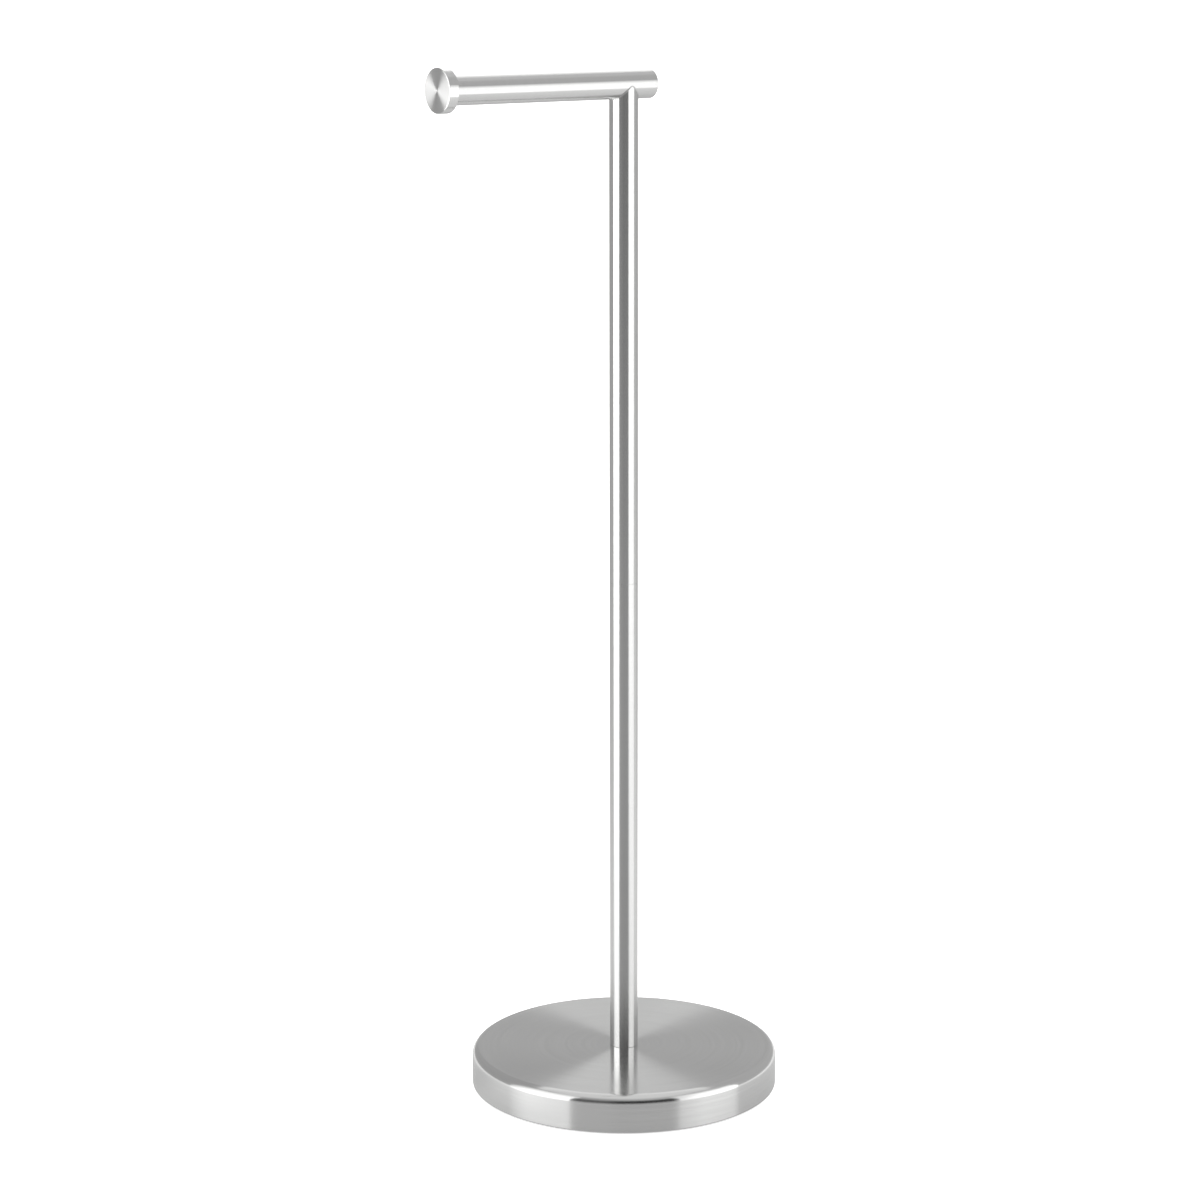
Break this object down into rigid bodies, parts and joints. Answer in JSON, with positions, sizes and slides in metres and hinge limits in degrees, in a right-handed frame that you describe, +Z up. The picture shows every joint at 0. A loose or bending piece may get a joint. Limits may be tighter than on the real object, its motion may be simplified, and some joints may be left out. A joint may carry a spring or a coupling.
{
  "type": "toilet roll stand",
  "caption": "Free-standing paper roll stand with a weighted round base, a slim screwed pole and a horizontal arm ending in a disc that keeps the roll on.",
  "frame": {"origin": "on the floor, on the pole's axis, at the centre of the base's rest face", "axes": "+Z up along the pole; the arm points along -X, so its end disc faces -X"},
  "size_m": [0.2095, 0.175, 0.582],
  "materials": {
    "tube_stainless": "brushed stainless tube, fine grain, satin",
    "spun_stainless": "spun stainless sheet, fine circular grain",
    "turned_stainless": "turned stainless bar, fine circular tool marks",
    "plug_steel": "turned mild steel",
    "plated_screw": "bright zinc plating",
    "weight_iron": "sand cast, blackened",
    "pad_foam": "matt closed-cell foam"
  },
  "bodies": {
    "root": {"base_cover": "spun_stainless", "base_weight": "weight_iron", "anti_slip_pad": "pad_foam", "base_bolt": "plated_screw", "base_spring_washer": "plated_screw", "base_flat_washer": "plated_screw", "pole_foot_plug": "plug_steel", "lower_pole_tube": "tube_stainless", "lower_pole_top_plug": "plug_steel", "pole_joint_stud": "plated_screw", "upper_pole_bottom_plug": "plug_steel", "upper_pole_tube": "tube_stainless", "arm_tube": "tube_stainless", "arm_tip_plug": "plug_steel", "end_disc": "turned_stainless", "end_disc_stud": "plated_screw", "arm_rear_cap": "turned_stainless"}
  },
  "joints": []
}
